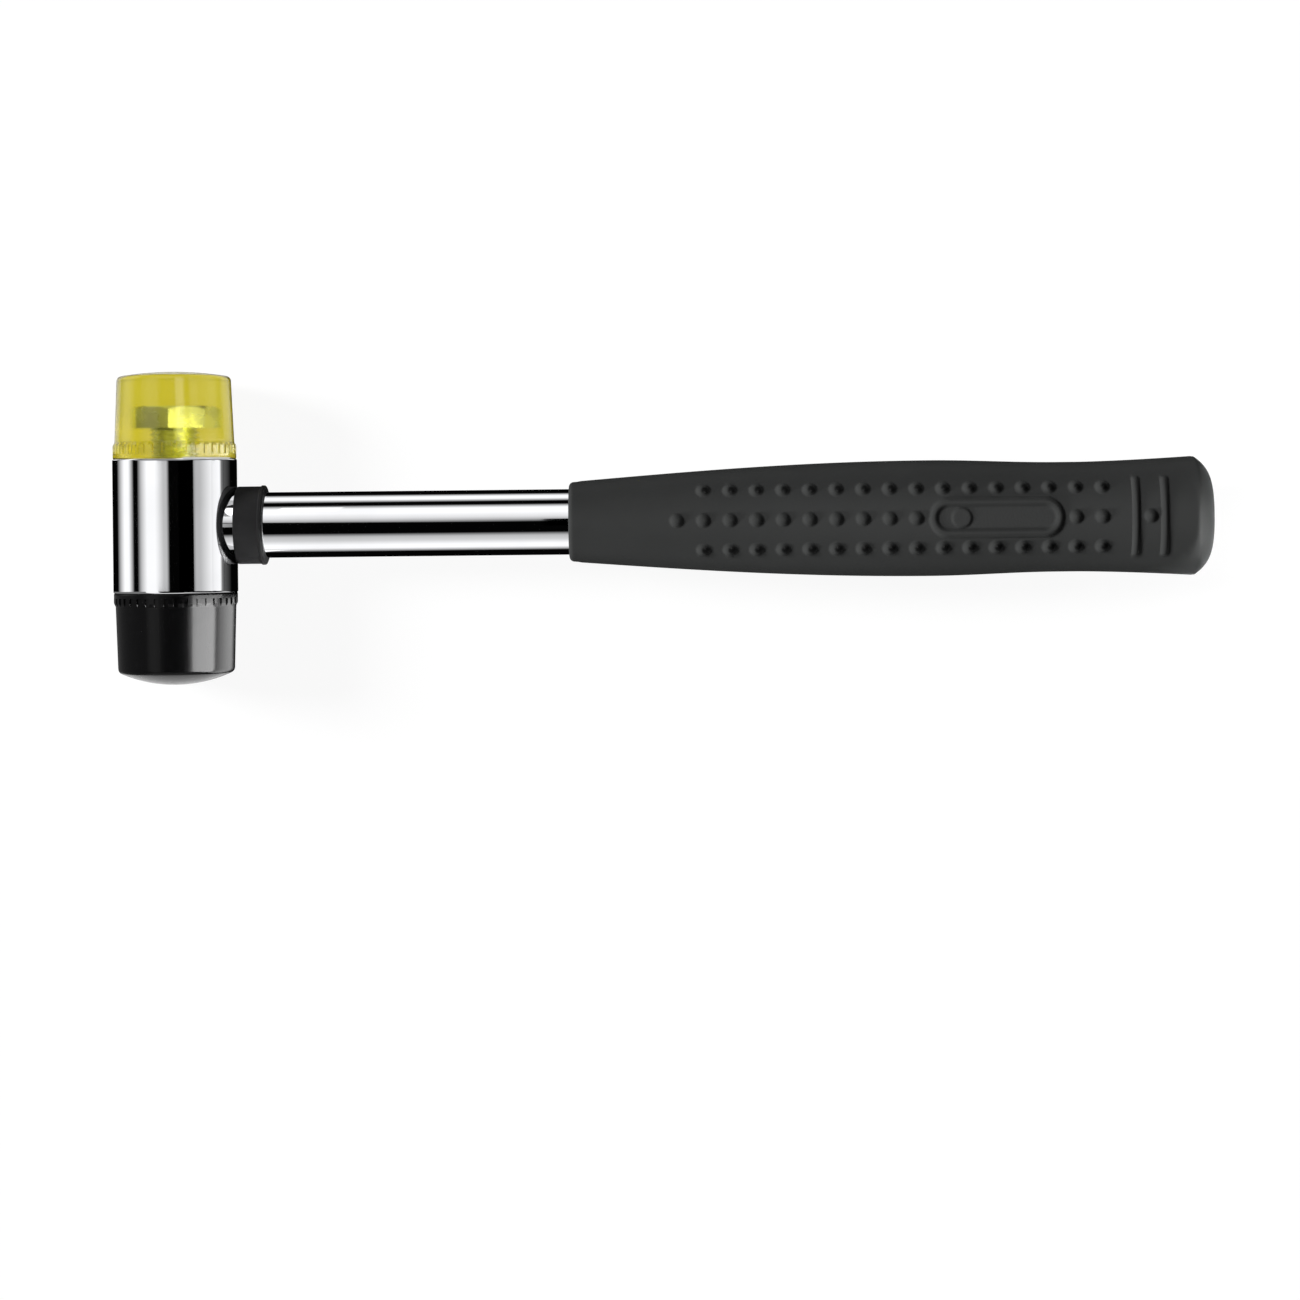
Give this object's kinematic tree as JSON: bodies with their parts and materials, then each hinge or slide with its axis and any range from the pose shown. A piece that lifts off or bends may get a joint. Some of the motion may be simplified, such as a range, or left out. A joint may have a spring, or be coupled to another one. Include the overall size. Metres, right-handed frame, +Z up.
{
  "type": "soft face hammer",
  "caption": "Soft face hammer: plated steel head with a screw-in clear yellow plastic face and a screw-in black rubber face, on a plated steel tube with a dotted rubber grip.",
  "frame": {"origin": "under the middle of the hammer's box, on the surface that it lies on", "axes": "+X along the handle from the head to the butt, +Y along the head towards the plastic face, +Z up"},
  "size_m": [0.267, 0.076, 0.03],
  "materials": {
    "plated_steel": "mirror-bright plating",
    "yellow_plastic": "clear tinted, polished",
    "bolt_steel": "zinc plated",
    "face_rubber": "glossy moulded",
    "plug_plastic": "moulded",
    "collar_rubber": "matt moulded",
    "grip_rubber": "fine grained satin"
  },
  "bodies": {
    "hammer_body": {"head_body": "plated_steel", "handle_tube": "plated_steel", "tube_end_plug": "plug_plastic", "tube_collar": "collar_rubber", "grip": "grip_rubber"},
    "plastic_face_unit": {"plastic_face": "yellow_plastic", "plastic_face_bolt": "bolt_steel"},
    "rubber_face_unit": {"rubber_face": "face_rubber", "rubber_face_bolt": "bolt_steel"}
  },
  "joints": [
    {"name": "plastic_face_unscrew", "type": "slide", "parent": "hammer_body", "child": "plastic_face_unit", "axis": [0, 1, 0], "range_m": [0, 0.0087]},
    {"name": "rubber_face_unscrew", "type": "slide", "parent": "hammer_body", "child": "rubber_face_unit", "axis": [0, -1, 0], "range_m": [0, 0.0087]}
  ]
}
